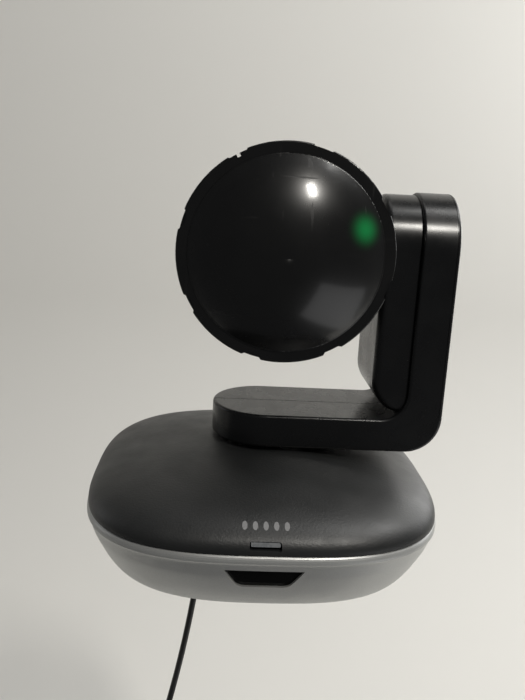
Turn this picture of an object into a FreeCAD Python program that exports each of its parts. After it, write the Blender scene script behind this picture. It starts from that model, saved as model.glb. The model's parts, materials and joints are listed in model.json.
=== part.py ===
import FreeCAD, Part
import math
import os
import Sketcher

# A pan-tilt-zoom camera: a rounded-square base, an L-shaped arm that pans on it, and a round head
# that tilts in the arm. Millimetres. +Z is up, the front faces -Y, and the origin is the mouth of
# the tripod insert on the underside, on the pan axis.

# ---------------------------------------------------------------- driving sizes

SIZES = {
    # base outline: a superellipse at the rim, drawn in to the foot below and to the neck above
    "base_half_width": 65.5,
    "base_half_depth": 65.0,
    "base_squareness": 3.06,
    "foot_squareness": 2.8,
    "rim_height": 23.05,
    "bowl_inset": 11.15,
    "bowl_curve_share": 0.43,
    "bowl_wall": 2.2,
    "cover_wall": 2.4,
    "rim_round_height": 2.6,
    "rim_round_depth": 1.5,
    "lip_clearance": 0.25,
    "lip_wall": 1.4,
    "lip_depth": 2.5,
    "cover_rise": 18.35,
    "cover_step": 1.3,
    "rim_seam": 0.25,
    "neck_radius": 22.0,
    "foot_lift": 0.8,
    "foot_outer_radius": 40.0,
    "foot_inner_radius": 34.0,
    "foot_groove_depth": 0.9,
    # tripod insert, 1/4 inch by 20
    "insert_bore": 2.6,
    "insert_outer_radius": 6.0,
    "insert_flange_radius": 8.5,
    "insert_flange_thickness": 1.2,
    "insert_length": 9.0,
    "insert_thread_length": 7.5,
    # front window, status light
    "window_middle_x": -1.0,
    "window_top_half": 12.9,
    "window_low_half": 8.3,
    "window_top_height": 17.6,
    "window_low_height": 10.5,
    "window_recess": 1.0,
    "window_thickness": 1.6,
    "slot_width": 10.2,
    "slot_height": 2.8,
    "slot_middle_height": 26.0,
    "light_bar_width": 9.4,
    "light_bar_height": 1.4,
    "light_bar_rise": 0.4,
    # board and its fixings
    "board_height": 10.6,
    "board_thickness": 1.6,
    "board_half_width": 34.0,
    "board_half_depth": 30.0,
    "board_tab_front": 55.0,
    "board_tab_back": 47.0,
    "post_inset": 4.0,
    "post_radius": 3.0,
    "screw_radius": 1.25,
    "screw_head_radius": 2.3,
    "screw_head_height": 1.4,
    "cover_post_place": 38.0,
    "cover_post_top": 15.8,
    # pan axis
    "frame_height": 20.6,
    "frame_thickness": 2.4,
    "frame_half_width": 42.0,
    "frame_half_depth": 28.0,
    "tower_radius": 11.0,
    "tower_top": 39.6,
    "shaft_radius": 6.0,
    "shaft_bore": 3.2,
    "bush_wall": 1.6,
    "bush_flange": 2.2,
    "bush_flange_thickness": 1.0,
    "bush_length": 7.0,
    "running_gap": 0.05,
    "pan_gear_height": 14.2,
    "gear_thickness": 3.0,
    "gear_module": 0.5,
    "gear_teeth": 64,
    "pinion_teeth": 16,
    "motor_radius": 8.6,
    "motor_length": 10.0,
    "motor_shaft_radius": 1.0,
    # arm: a bar with a round end on the pan axis, turned up into a round-topped upright
    "arm_gap": 1.5,
    "arm_half_depth": 19.9,
    "bar_thickness": 12.2,
    "upright_thickness": 13.44,
    "upright_outer_x": 64.04,
    "arm_outer_corner": 13.0,
    "arm_inner_corner": 9.5,
    "arm_edge_round": 1.1,
    "arm_wall": 1.6,
    "arm_seam": 0.2,
    "arm_top_rise": 21.2,
    "side_cover_thickness": 1.2,
    "side_cover_low": 56.5,
    "side_cover_seam": 0.15,
    "side_wall_extra": 0.9,
    "housing_thickness": 12.94,
    "housing_setback": 1.9,
    "housing_top_drop": 1.0,
    "housing_wall": 1.5,
    "housing_gap": 0.12,
    "housing_edge_round": 2.6,
    "chassis_thickness": 1.6,
    "chassis_half_depth": 14.0,
    # tilt axis and head
    "tilt_height": 115.15,
    "head_middle_x": 1.85,
    "head_radius": 32.5,
    "head_wall": 2.0,
    "head_front": 35.6,
    "head_split": 8.0,
    "head_back": 31.0,
    # places inside the head, measured in from its outer wall
    "head_screw_drop": 5.2,
    "hub_start_drop": 6.5,
    "shaft_start_drop": 8.5,
    "shaft_boss_drop": 9.5,
    "head_light_drop": 9.5,
    "head_light_height": 9.5,
    "hub_radius": 14.0,
    "hub_gap": 0.4,
    "tilt_shaft_radius": 5.0,
    "tilt_shaft_bore": 2.6,
    # lens
    "barrel_radius": 19.0,
    "barrel_wall": 1.5,
    "barrel_back": 16.0,
    "lens_radius": 13.0,
    "bezel_thickness": 2.0,
    "lens_bulge": 2.6,
    "small_lens_bulge": 0.8,
    "rear_lens_radius": 7.0,
    "carriage_radius": 13.5,
    "carriage_bore": 8.2,
    "carriage_length": 5.0,
    "rod_radius": 1.0,
    "rod_spacing": 15.2,
    "zoom_place": 17.0,
    "focus_place": 2.0,
    # lens cap
    "cap_flange_radius": 35.5,
    "cap_dome_radius": 31.9,
    "cap_flange_front": 38.2,
    "cap_dome_rise": 11.0,
    "cap_wall": 1.6,
    "cap_skirt_wall": 2.4,
    "cap_skirt_length": 11.0,
    "cap_grip_gap": 0.15,
    "cap_edge_round": 0.5,
    "cap_dome_step": 0.5,
    "cap_notch_radius": 4.8,
    "cap_notch_depth": 1.6,
    "cap_slot_width": 1.2,
    # lead
    "lead_radius": 1.75,
    "socket_middle_x": -11.0,
    "socket_height": 14.0,
    "plug_radius": 4.6,
    "plug_length": 11.0,
    "relief_length": 12.0,
    "coil_mean_radius": 20.5,
    "coil_bundle_radius": 10.3,
}

FRONT = FreeCAD.Vector(0, -1, 0)
BACK = FreeCAD.Vector(0, 1, 0)
UP = FreeCAD.Vector(0, 0, 1)
DOWN = FreeCAD.Vector(0, 0, -1)
RIGHT = FreeCAD.Vector(1, 0, 0)
LEFT = FreeCAD.Vector(-1, 0, 0)


class Size:
    """A length from the sheet, or a sum or product of lengths: its expression and its value."""

    def __init__(self, text, value):
        self.text = text
        self.value = value

    def joined(self, sign, other, value):
        return Size(f"({self.text} {sign} {words(other)})", value)

    def __add__(self, other):
        return self.joined("+", other, self.value + number(other))

    def __sub__(self, other):
        return self.joined("-", other, self.value - number(other))

    def __mul__(self, other):
        return self.joined("*", other, self.value * number(other))

    def __truediv__(self, other):
        return self.joined("/", other, self.value / number(other))

    def __neg__(self):
        return Size(f"(0 - {self.text})", -self.value)

    def __float__(self):
        return float(self.value)


def words(item):
    return item.text if isinstance(item, Size) else repr(item)


def number(item):
    return item.value if isinstance(item, Size) else item


doc = FreeCAD.newDocument("ptz_camera")
sheet = doc.addObject("Spreadsheet::Sheet", "dims")
for row, (alias, size) in enumerate(SIZES.items(), start=1):
    sheet.set(f"A{row}", alias)
    sheet.set(f"B{row}", str(size))
    sheet.setAlias(f"B{row}", alias)
doc.recompute()


class Sheet:
    """The sheet's cells as Size values, by alias."""

    def __getattr__(self, alias):
        return Size(f"dims.{alias}", float(sheet.get(alias)))


d = Sheet()
NODES = {}


# ---------------------------------------------------------------- helpers

def vec(x, y, z):
    return FreeCAD.Vector(float(x), float(y), float(z))


def bind(item, prop, size):
    """Set a property from a Size and keep it bound to the sheet, or set a plain number."""
    if isinstance(size, Size):
        item.setExpression(prop, size.text)
    else:
        owner, _, last = prop.rpartition(".")
        if owner == "Placement.Base":
            base = item.Placement.Base
            setattr(base, last, size)
            item.Placement = FreeCAD.Placement(base, item.Placement.Rotation)
        else:
            setattr(item, prop, size)


def put(item, place, direction=UP):
    """Turn an item's own +Z to a direction, and move its origin to a place."""
    turn = FreeCAD.Rotation(FreeCAD.Vector(0, 0, 1), direction)
    item.Placement = FreeCAD.Placement(vec(*place), turn)
    for letter, size in zip("xyz", place):
        bind(item, f"Placement.Base.{letter}", size)
    return item


def node(name, item):
    """Name a finished sub-part: its label is its file's name."""
    item.Label = name
    NODES[name] = item
    return item


def box(low, size):
    item = doc.addObject("Part::Box", "block")
    for prop, length in zip(("Length", "Width", "Height"), size):
        bind(item, prop, length)
    return put(item, low)


def middle_box(middle, size):
    """A box given by its middle and its full sizes."""
    low = [m - s / 2 if isinstance(m, Size) else s / 2 * -1 + m for m, s in zip(middle, size)]
    return box(low, size)


def rod(place, direction, radius, length):
    item = doc.addObject("Part::Cylinder", "rod")
    bind(item, "Radius", radius)
    bind(item, "Height", length)
    return put(item, place, direction)


def cut(base, *tools):
    result = base
    for tool in tools:
        item = doc.addObject("Part::Cut", "cut")
        item.Base = result
        item.Tool = tool
        result = item
    return result


def fuse(*items):
    if len(items) == 1:
        return items[0]
    item = doc.addObject("Part::MultiFuse", "fuse")
    item.Shapes = list(items)
    item.Refine = True
    return item


def common(*items):
    item = doc.addObject("Part::MultiCommon", "common")
    item.Shapes = list(items)
    return item


def group(*items):
    item = doc.addObject("Part::Compound", "group")
    item.Links = list(items)
    return item


def feature(shape):
    """A shape made by formula, where neither sketches nor primitives fit."""
    item = doc.addObject("Part::Feature", "form")
    item.Shape = shape
    return item


def origin_plane(body, role):
    return [item for item in body.Origin.OriginFeatures if item.Role == role][0]


def outline_sketch(body, role, points):
    """A closed sketch. Each point is (across, along); a third item "arc" bends the stretch that
    leads to it through the point (mid_across, mid_along) given as the fourth item."""
    sketch = body.newObject("Sketcher::SketchObject", "outline")
    sketch.AttachmentSupport = [(origin_plane(body, role), "")]
    sketch.MapMode = "FlatFace"
    corners = [vec(p[0], p[1], 0) for p in points]
    count = len(points)
    ends = []
    for i in range(count):
        start = corners[i - 1]
        end = corners[i]
        if len(points[i]) == 2:
            sketch.addGeometry(Part.LineSegment(start, end))
            ends.append((1, 2))
            continue
        through = vec(points[i][3][0], points[i][3][1], 0)
        turn = (through - start).cross(end - through).z
        if turn > 0:
            sketch.addGeometry(Part.Arc(start, through, end))
            ends.append((1, 2))
        else:
            sketch.addGeometry(Part.Arc(end, through, start))
            ends.append((2, 1))
    for i in range(count):
        after = (i + 1) % count
        sketch.addConstraint(Sketcher.Constraint("Coincident", i, ends[i][1], after, ends[after][0]))
    for i in range(count):
        fix_point(sketch, i, ends[i][1], points[i])
    for i in range(count):
        if len(points[i]) > 2:
            middle = points[i][3]
            mark = sketch.addGeometry(Part.Point(vec(middle[0], middle[1], 0)), True)
            fix_point(sketch, mark, 1, middle)
            sketch.addConstraint(Sketcher.Constraint("PointOnObject", mark, 1, i))
    return sketch


def fix_point(sketch, geometry, end, point):
    for kind, size in (("DistanceX", point[0]), ("DistanceY", point[1])):
        rule = Sketcher.Constraint(kind, -1, 1, geometry, end, float(size))
        index = sketch.addConstraint(rule)
        if isinstance(size, Size):
            sketch.setExpression(f"Constraints[{index}]", size.text)


def turned(place, direction, profile):
    """A turned piece: a profile of (radius, height) points, turned about its own axis."""
    body = doc.addObject("PartDesign::Body", "turned")
    sketch = outline_sketch(body, "XZ_Plane", profile)
    spin = body.newObject("PartDesign::Revolution", "spin")
    spin.Profile = sketch
    spin.ReferenceAxis = (sketch, ["V_Axis"])
    spin.Angle = 360
    return put(body, place, direction)


def plate(role, place, outline, thickness, both_ways=False):
    """A flat piece: an outline on an origin plane, padded along the plane's normal."""
    body = doc.addObject("PartDesign::Body", "plate")
    sketch = outline_sketch(body, role, outline)
    pad = body.newObject("PartDesign::Pad", "pad")
    pad.Profile = sketch
    bind(pad, "Length", thickness)
    pad.Midplane = both_ways
    return put(body, place)


def tube(place, direction, outer, inner, length):
    return turned(place, direction, [(inner, 0.0), (outer, 0.0), (outer, length), (inner, length)])


def cap_screw(place, direction, length):
    """A screw with its head at the place, pointing along the direction."""
    head = d.screw_head_radius
    shank = d.screw_radius
    depth = d.screw_head_height
    profile = [
        (0.0, -depth * 0.4), (shank * 0.6, -depth * 0.4), (shank * 0.6, -depth), (head * 0.8, -depth),
        (head, -depth * 0.6), (head, 0.0), (shank, 0.0), (shank, length), (0.0, length),
    ]
    return turned(place, direction, profile)


def flanged_bush(place, direction, inner, length):
    """A plain bush whose flange lies at the place, its sleeve along the direction."""
    outer = inner + d.bush_wall
    wide = outer + d.bush_flange
    thick = d.bush_flange_thickness
    profile = [(inner, 0.0), (wide, 0.0), (wide, thick), (outer, thick), (outer, length), (inner, length)]
    return turned(place, direction, profile)


def root(size):
    return Size(f"sqrt({size.text})", math.sqrt(size.value))


def dome_mid(across, rise, start):
    """The middle point of a round dome's profile, from its rim to its crown."""
    slant = root(across * across + rise * rise)
    radius = slant * slant / (rise * 2)
    return (slant / 2, start + rise - radius + across * slant / (rise * 2))


def gear_outline(teeth, module, turn):
    """The wire of an involute gear with a little backlash, a tooth's middle turned from the +X axis."""
    pressure = math.radians(25.0)
    pitch = teeth * module / 2
    base = pitch * math.cos(pressure)
    tip = pitch + 0.9 * module
    root = pitch - 1.2 * module
    backlash = 0.09 / pitch
    half_tooth = math.pi / (2 * teeth) - backlash / 2 + math.tan(pressure) - pressure
    flank = []
    start = max(base, root)
    steps = 4
    for step in range(steps + 1):
        radius = start + (tip - start) * step / steps
        roll = math.acos(min(1.0, base / radius))
        flank.append((radius, half_tooth - math.tan(roll) + roll))
    if root < base:
        flank.insert(0, (root, half_tooth))
    points = []
    for tooth in range(teeth):
        middle = 2 * math.pi * tooth / teeth + math.radians(turn)
        for radius, angle in flank:
            points.append((radius, middle - angle))
        for radius, angle in reversed(flank):
            points.append((radius, middle + angle))
    corners = [FreeCAD.Vector(r * math.cos(a), r * math.sin(a), 0) for r, a in points]
    return Part.makePolygon(corners + corners[:1])


def gear(teeth, bore, thickness, hub_radius, hub_length, turn=0.0):
    """A spur gear along +Z from its origin, with a hub on its far side."""
    outline = gear_outline(int(float(teeth)), float(d.gear_module), turn)
    body = Part.Face(outline).extrude(vec(0, 0, thickness))
    hub = Part.makeCylinder(float(hub_radius), float(thickness) + float(hub_length))
    hole = Part.makeCylinder(float(bore), float(thickness) + float(hub_length))
    return feature(body.fuse(hub).cut(hole).removeSplitter())


# ---------------------------------------------------------------- rounded-square forms

def superellipse(half_width, half_depth, power, height):
    """A closed smooth wire in a level plane: |x/a|^n + |y/b|^n = 1."""
    count = 64
    points = []
    for i in range(count):
        angle = 2 * math.pi * i / count
        c = math.cos(angle)
        s = math.sin(angle)
        reach = (abs(c) ** power + abs(s) ** power) ** (-1 / power)
        points.append(FreeCAD.Vector(half_width * reach * c, half_depth * reach * s, height))
    curve = Part.BSplineCurve()
    curve.interpolate(Points=points, PeriodicFlag=True)
    return Part.Wire([curve.toShape()])


def loft(sections):
    return Part.makeLoft([superellipse(*section) for section in sections], True, False)


def bowl_section(height, inset):
    """The bowl's outline at a height, drawn in all round by an inset."""
    rim = float(d.rim_height)
    lift = float(d.foot_lift)
    down = min(1.0, max(0.0, (rim - height) / (rim - lift)))
    share = float(d.bowl_curve_share)
    draw = float(d.bowl_inset) * (share * (1 - math.sqrt(max(0.0, 1 - down ** 2))) + (1 - share) * down)
    power = float(d.base_squareness) + (float(d.foot_squareness) - float(d.base_squareness)) * down
    width = float(d.base_half_width) - draw - inset
    depth = float(d.base_half_depth) - draw - inset
    return (width, depth, power, height)


def bowl_form(low, high, inset):
    steps = 7
    # closer sections near the bottom, where the side turns in fastest
    shares = [math.sin(math.pi / 2 * i / steps) for i in range(steps + 1)]
    return loft([bowl_section(high - (high - low) * share, inset) for share in shares])


def cover_section(rise_share, inset):
    """The cover's outline at a share of its rise, easing from the rim's shape to a circle."""
    neck = float(d.neck_radius)
    widths = (float(d.base_half_width), float(d.base_half_depth))
    ease = 1 - max(0.0, rise_share) ** 2.35
    sizes = [neck + (width - neck) * ease - float(d.cover_step) - inset for width in widths]
    power = 2.0 + (float(d.base_squareness) - 2.0) * min(1.0, ease * 1.25)
    return sizes[0], sizes[1], power


def cover_form(inset, drop):
    """The dome from the rim's seam to the neck, drawn in by an inset and lowered by a drop."""
    low = float(d.rim_height) + float(d.rim_seam)
    rise = float(d.cover_rise) - float(d.rim_seam) - drop
    steps = 8
    sections = []
    for i in range(steps + 1):
        share = math.sin(math.pi / 2 * i / steps)
        width, depth, power = cover_section(share, inset)
        sections.append((width, depth, power, low + rise * share))
    return loft(sections)


# ---------------------------------------------------------------- places worked out from the sizes

COVER_TOP = d.rim_height + d.cover_rise
ARM_LOW = COVER_TOP + d.arm_gap
BAR_TOP = ARM_LOW + d.bar_thickness
UPRIGHT_INNER_X = d.upright_outer_x - d.upright_thickness
ARM_TOP = d.tilt_height + d.arm_top_rise
GEAR_CENTRES = (d.gear_teeth + d.pinion_teeth) * d.gear_module / 2
BUSH_OUTER = d.shaft_radius + d.running_gap + d.bush_wall
BOARD_TOP = d.board_height + d.board_thickness
FLOOR_TOP = d.foot_lift + d.bowl_wall
HOUSING_LEFT_X = UPRIGHT_INNER_X - d.housing_thickness
HEAD = (d.head_middle_x, 0.0, d.tilt_height)
CORNER_SHARE = 1 - math.sqrt(0.5)
REACH = 90.0


def four_corners(x, y):
    return [(x * i, y * j) for i in (-1, 1) for j in (-1, 1)]


# ---------------------------------------------------------------- base

def base_bowl():
    rim = float(d.rim_height)
    low = float(d.foot_lift)
    lip = float(d.rim_round_height)
    wall = float(d.bowl_wall)
    steps = 6
    lip_sections = []
    for i in range(steps + 1):
        angle = math.pi / 2 * i / steps
        height = rim - lip + lip * math.sin(angle)
        section = bowl_section(rim - lip, float(d.rim_round_depth) * (1 - math.cos(angle)))
        lip_sections.append((*section[:3], height))
    lip_form = Part.makeLoft([superellipse(*section) for section in lip_sections], True, True)
    outer = feature(bowl_form(low, rim - lip, 0.0).fuse(lip_form))
    inner = feature(bowl_form(low + wall, rim + 1.0, wall))
    posts = []
    holes = []
    for x, y in four_corners(d.board_half_width - d.post_inset, d.board_half_depth - d.post_inset):
        posts.append(rod((x, y, d.foot_lift + 1.0), UP, d.post_radius, d.board_height - d.foot_lift - 1.0))
        holes.append(rod((x, y, FLOOR_TOP), UP, d.screw_radius, d.board_height))
    for x, y in four_corners(d.frame_half_width - d.post_inset, d.frame_half_depth - d.post_inset * 3):
        posts.append(rod((x, y, d.foot_lift + 1.0), UP, d.post_radius, d.frame_height - d.foot_lift - 1.0))
        holes.append(rod((x, y, d.board_height), UP, d.screw_radius, d.frame_height))
    for x, y in four_corners(d.cover_post_place, d.cover_post_place):
        posts.append(rod((x, y, d.foot_lift + 0.4), UP, d.post_radius + 0.8, d.cover_post_top - d.foot_lift - 0.4))
        holes.append(rod((x, y, 0.0), UP, d.screw_radius + 0.15, REACH))
        holes.append(rod((x, y, 0.0), UP, d.screw_head_radius + 0.2, d.foot_lift + 3.2))
    shell = fuse(cut(outer, inner), *posts)
    holes.append(rod((0.0, 0.0, 0.0), UP, d.insert_outer_radius + 0.05, d.foot_lift + 4.0))
    groove = tube((0.0, 0.0, 0.0), UP, d.foot_outer_radius + 0.05, d.foot_inner_radius - 0.05,
                  d.foot_lift + d.foot_groove_depth)
    socket_hole = rod((d.socket_middle_x, 50.0, d.socket_height), BACK, d.plug_radius + 1.1, 20.0)
    return node("base_bowl", cut(shell, *holes, groove, socket_hole, window_prism(0.0)))


def window_prism(gap):
    """The trapezoid of the front window, running front to back; its lower corners are rounded."""
    top = d.window_top_half - gap
    low = d.window_low_half - gap
    high_z = d.window_top_height - gap
    low_z = d.window_low_height + gap
    bend = 2.0
    slope_x = (top - low) * bend / (high_z - low_z)
    sag_x = (-slope_x + bend) / 4
    outline = [
        (-top, high_z), (-low - slope_x, low_z + bend),
        (-low + bend, low_z, "arc", (-low + sag_x, low_z + bend / 4)),
        (low - bend, low_z),
        (low + slope_x, low_z + bend, "arc", (low - sag_x, low_z + bend / 4)),
        (top, high_z),
    ]
    # the sketch plane's normal is -Y, so the pad reaches the front from a plane inside the wall
    return plate("XZ_Plane", (d.window_middle_x, -50.0, 0.0), outline, 20.0)


def ir_window():
    low = float(d.foot_lift)
    rim = float(d.rim_height)
    front = float(d.window_recess)
    outer = feature(bowl_form(low + 2.0, rim - 1.0, front))
    inner = feature(bowl_form(low + 1.0, rim, front + float(d.window_thickness)))
    return node("ir_window", cut(common(window_prism(0.08), outer), inner))


def base_cover():
    outer = feature(cover_form(0.0, 0.0))
    inner = feature(cover_form(float(d.cover_wall), float(d.cover_wall)))
    posts = []
    holes = [rod((0.0, 0.0, 30.0), UP, d.tower_radius + 1.2, REACH)]
    inside = feature(cover_form(1.0, 1.0))
    low = d.cover_post_top + 0.1
    for x, y in four_corners(d.cover_post_place, d.cover_post_place):
        upper = common(rod((x, y, d.rim_height), UP, d.post_radius, 20.0), inside)
        posts += [rod((x, y, low), UP, d.post_radius, d.rim_height + d.rim_seam + 0.5 - low), upper]
        holes.append(rod((x, y, low - 1.0), UP, d.screw_radius, 10.0))
    slot = slot_bar(d.slot_width, d.slot_height, 0.0, 0.7)
    return node("base_cover", cut(fuse(cut(outer, inner), cover_lip(), *posts), *holes, slot))


def cover_lip():
    """The lip that locates the cover inside the bowl's wall."""
    rim = float(d.rim_height)
    gap = float(d.bowl_wall) + float(d.lip_clearance)
    low = rim - float(d.lip_depth)
    high = rim + float(d.rim_seam) + 0.4
    outer = loft([bowl_section(low, gap), bowl_section(rim, gap), (*bowl_section(rim, gap)[:3], high)])
    wall = gap + float(d.lip_wall)
    inner = loft([(*bowl_section(low, wall)[:3], low - 0.5), bowl_section(rim, wall),
                  (*bowl_section(rim, wall)[:3], high + 0.5)])
    return feature(outer.cut(inner))


def slot_bar(width, height, rise, bend):
    """A round-cornered bar through the cover's front wall, at the status light's place."""
    across = width / 2
    up = height / 2
    mid = bend * CORNER_SHARE
    low = d.slot_middle_height + rise - up
    high = d.slot_middle_height + rise + up
    outline = [
        (across - bend, low), (across, low + bend, "arc", (across - mid, low + mid)),
        (across, high - bend), (across - bend, high, "arc", (across - mid, high - mid)),
        (-across + bend, high), (-across, high - bend, "arc", (-across + mid, high - mid)),
        (-across, low + bend), (-across + bend, low, "arc", (-across + mid, low + mid)),
    ]
    return plate("XZ_Plane", (d.window_middle_x, -56.0, 0.0), outline, 14.0)


def status_light():
    inside = feature(cover_form(0.7, 0.5))
    bar = slot_bar(d.light_bar_width, d.light_bar_height, d.light_bar_rise, 0.3)
    back = middle_box((d.window_middle_x, -54.0, d.slot_middle_height), (20.0, 12.0, 8.0))
    node("status_light_guide", cut(common(bar, inside), back))
    board = middle_box((d.window_middle_x, -56.2, d.slot_middle_height), (14.0, 1.2, 5.0))
    led = middle_box((d.window_middle_x, -57.4, d.slot_middle_height), (3.2, 1.2, 1.4))
    node("status_led_board", group(board, led))


def foot_and_insert():
    node("rubber_foot", tube((0.0, 0.0, 0.0), UP, d.foot_outer_radius, d.foot_inner_radius,
                             d.foot_lift + d.foot_groove_depth))
    outer = d.insert_outer_radius
    flange = d.insert_flange_radius
    flange_top = FLOOR_TOP + d.insert_flange_thickness
    profile = [
        (d.insert_bore, 0.0), (outer, 0.0), (outer, FLOOR_TOP), (flange, FLOOR_TOP), (flange, flange_top),
        (outer, flange_top), (outer, d.insert_length), (0.0, d.insert_length),
        (0.0, d.insert_thread_length), (d.insert_bore, d.insert_thread_length),
    ]
    node("tripod_insert", turned((0.0, 0.0, 0.0), UP, profile))


def boards():
    wide = d.board_half_width
    deep = d.board_half_depth
    tab = 12.0
    left = d.socket_middle_x - 8.0
    right = d.socket_middle_x + 8.0
    outline = [
        (-wide, -deep), (-tab, -deep), (-tab, -d.board_tab_front), (tab, -d.board_tab_front), (tab, -deep),
        (wide, -deep), (wide, deep), (right, deep), (right, d.board_tab_back), (left, d.board_tab_back),
        (left, deep), (-wide, deep),
    ]
    board = plate("XY_Plane", (0.0, 0.0, d.board_height), outline, d.board_thickness)
    holes = [rod((0.0, 0.0, 0.0), UP, 5.0, REACH)]
    screws = []
    for x, y in four_corners(wide - d.post_inset, deep - d.post_inset):
        holes.append(rod((x, y, 0.0), UP, d.screw_radius + 0.1, REACH))
        screws.append(cap_screw((x, y, BOARD_TOP), DOWN, 6.0))
    node("main_board", cut(board, *holes))
    node("board_screws", group(*screws))
    chips = [
        middle_box((20.0, -8.0, BOARD_TOP + 0.9), (14.0, 14.0, 1.8)),
        middle_box((-20.0, -10.0, BOARD_TOP + 0.6), (10.0, 12.0, 1.2)),
        middle_box((20.0, 14.0, BOARD_TOP + 0.5), (8.0, 6.0, 1.0)),
        rod((-24.0, 12.0, BOARD_TOP), UP, 3.2, 6.0),
        rod((-16.0, 18.0, BOARD_TOP), UP, 2.5, 5.0),
    ]
    node("board_chips", group(*chips))
    eye_height = (d.window_top_height + d.window_low_height) / 2
    eye = rod((0.0, -57.0, eye_height), BACK, 2.4, 2.0)
    receiver = middle_box((0.0, -54.0, BOARD_TOP + 2.9), (7.0, 4.0, 5.8))
    node("ir_receiver", fuse(receiver, eye))


def lead_socket():
    x = d.socket_middle_x
    z = d.socket_height
    body = middle_box((x, 51.5, z), (12.0, 9.0, 11.0))
    collar = rod((x, 55.0, z), BACK, d.plug_radius + 0.9, 6.2)
    bore = rod((x, 50.5, z), BACK, 2.9, 20.0)
    node("lead_socket", cut(fuse(body, collar), bore))


def pan_frame():
    plate_form = middle_box((0.0, 2.0, d.frame_height + d.frame_thickness / 2),
                            (d.frame_half_width * 2, d.frame_half_depth * 2 - 4.0, d.frame_thickness))
    tower = rod((0.0, 0.0, d.frame_height), UP, d.tower_radius, d.tower_top - d.frame_height)
    ribs = [middle_box((0.0, 0.0, d.frame_height + 5.0), (d.tower_radius * 2 + 16.0, 2.0, 10.0)),
            middle_box((0.0, -d.tower_radius, d.frame_height + 5.0), (2.0, 14.0, 10.0))]
    bore = rod((0.0, 0.0, 0.0), UP, BUSH_OUTER + 0.01, REACH)
    motor_hole = rod((0.0, GEAR_CENTRES, 0.0), UP, 3.0, REACH)
    holes = []
    screws = []
    for x, y in four_corners(d.frame_half_width - d.post_inset, d.frame_half_depth - d.post_inset * 3):
        holes.append(rod((x, y, 0.0), UP, d.screw_radius + 0.1, REACH))
        screws.append(cap_screw((x, y, d.frame_height + d.frame_thickness), DOWN, 7.0))
    node("pan_frame", cut(fuse(plate_form, tower, *ribs), bore, motor_hole, *holes))
    node("frame_screws", group(*screws))


def pan_bearings():
    inner = d.shaft_radius + d.running_gap
    top = d.tower_top + d.bush_flange_thickness
    upper = flanged_bush((0.0, 0.0, top), DOWN, inner, d.bush_length)
    low = d.frame_height - d.bush_flange_thickness
    lower = flanged_bush((0.0, 0.0, low), UP, inner, d.bush_length)
    node("pan_bushes", group(upper, lower))


def motor(place, direction):
    """A flat stepping motor: its face at the place, its can behind, open down the middle."""
    radius = d.motor_radius
    length = d.motor_length
    bore = d.motor_shaft_radius + d.running_gap
    profile = [(bore, 0.0), (radius, 0.0), (radius, length), (radius - 1.5, length),
               (radius - 1.5, length + 1.0), (bore, length + 1.0)]
    return turned(place, direction, profile)


def pan_drive():
    seat = d.frame_height + d.frame_thickness
    node("pan_motor", motor((0.0, GEAR_CENTRES, seat), UP))
    half_pitch = 180.0 / float(d.pinion_teeth)
    pinion = gear(d.pinion_teeth, d.motor_shaft_radius, d.gear_thickness, 2.4, 1.5, half_pitch)
    place = (0.0, GEAR_CENTRES, d.pan_gear_height)
    shaft = rod(place, UP, d.motor_shaft_radius, seat + d.motor_length - d.pan_gear_height)
    node("pan_pinion", group(put(pinion, place), shaft))


def cover_screws():
    screws = []
    for x, y in four_corners(d.cover_post_place, d.cover_post_place):
        screws.append(cap_screw((x, y, d.foot_lift + 3.2), UP, 16.0))
    node("cover_screws", group(*screws))



# ---------------------------------------------------------------- arm

def corner_arc(x, z, radius, turn_x, turn_z):
    """The middle of a rounded corner: (turn_x, turn_z) point from the corner towards the arc."""
    return (x + radius * CORNER_SHARE * turn_x, z + radius * CORNER_SHARE * turn_z)


def round_ended(half_depth, top, low, right):
    """Everything inside the arm's plan (round left end) and its side view (round top)."""
    plan = fuse(rod((0.0, 0.0, low), UP, half_depth, top - low),
                box((0.0, -half_depth, low), (right, half_depth * 2, top - low)))
    centre = top - half_depth
    side = fuse(rod((-half_depth - 1.0, 0.0, centre), RIGHT, half_depth, right + half_depth + 2.0),
                box((-half_depth - 1.0, -half_depth, low - 1.0),
                    (right + half_depth + 2.0, half_depth * 2, centre - low + 1.0)))
    return common(plan, side)


def arm_form(inset, right_inset):
    """The arm's solid: an L in front view, drawn in all round by an inset."""
    half_depth = d.arm_half_depth - inset
    low = ARM_LOW + inset
    bar_top = BAR_TOP - inset
    right = d.upright_outer_x - right_inset
    inner = UPRIGHT_INNER_X + inset
    top = ARM_TOP - inset
    outer_bend = d.arm_outer_corner - inset
    inner_bend = d.arm_inner_corner + inset
    left = -half_depth - 1.0
    outline = [
        (left, low), (right - outer_bend, low),
        (right, low + outer_bend, "arc", corner_arc(right, low, outer_bend, -1, 1)),
        (right, top + 1.0), (inner, top + 1.0), (inner, bar_top + inner_bend),
        (inner - inner_bend, bar_top, "arc", corner_arc(inner, bar_top, inner_bend, -1, 1)),
        (left, bar_top),
    ]
    profile = plate("XZ_Plane", (0.0, 0.0, 0.0), outline, half_depth * 2 + 2.0, both_ways=True)
    return common(profile, round_ended(half_depth, top, low, right))


def sharp_edges(shape, keep):
    """The numbers of the edges whose two faces meet at an angle, and that the test keeps."""
    found = []
    for place_number, edge in enumerate(shape.Edges, start=1):
        faces = shape.ancestorsOfType(edge, Part.Face)
        if len(faces) != 2:
            continue
        middle = edge.valueAt((edge.FirstParameter + edge.LastParameter) / 2)
        normals = []
        for face in faces:
            across, along = face.Surface.parameter(middle)
            normals.append(face.normalAt(across, along))
        if normals[0].getAngle(normals[1]) > 0.3 and keep(middle):
            found.append(place_number)
    return found


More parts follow.
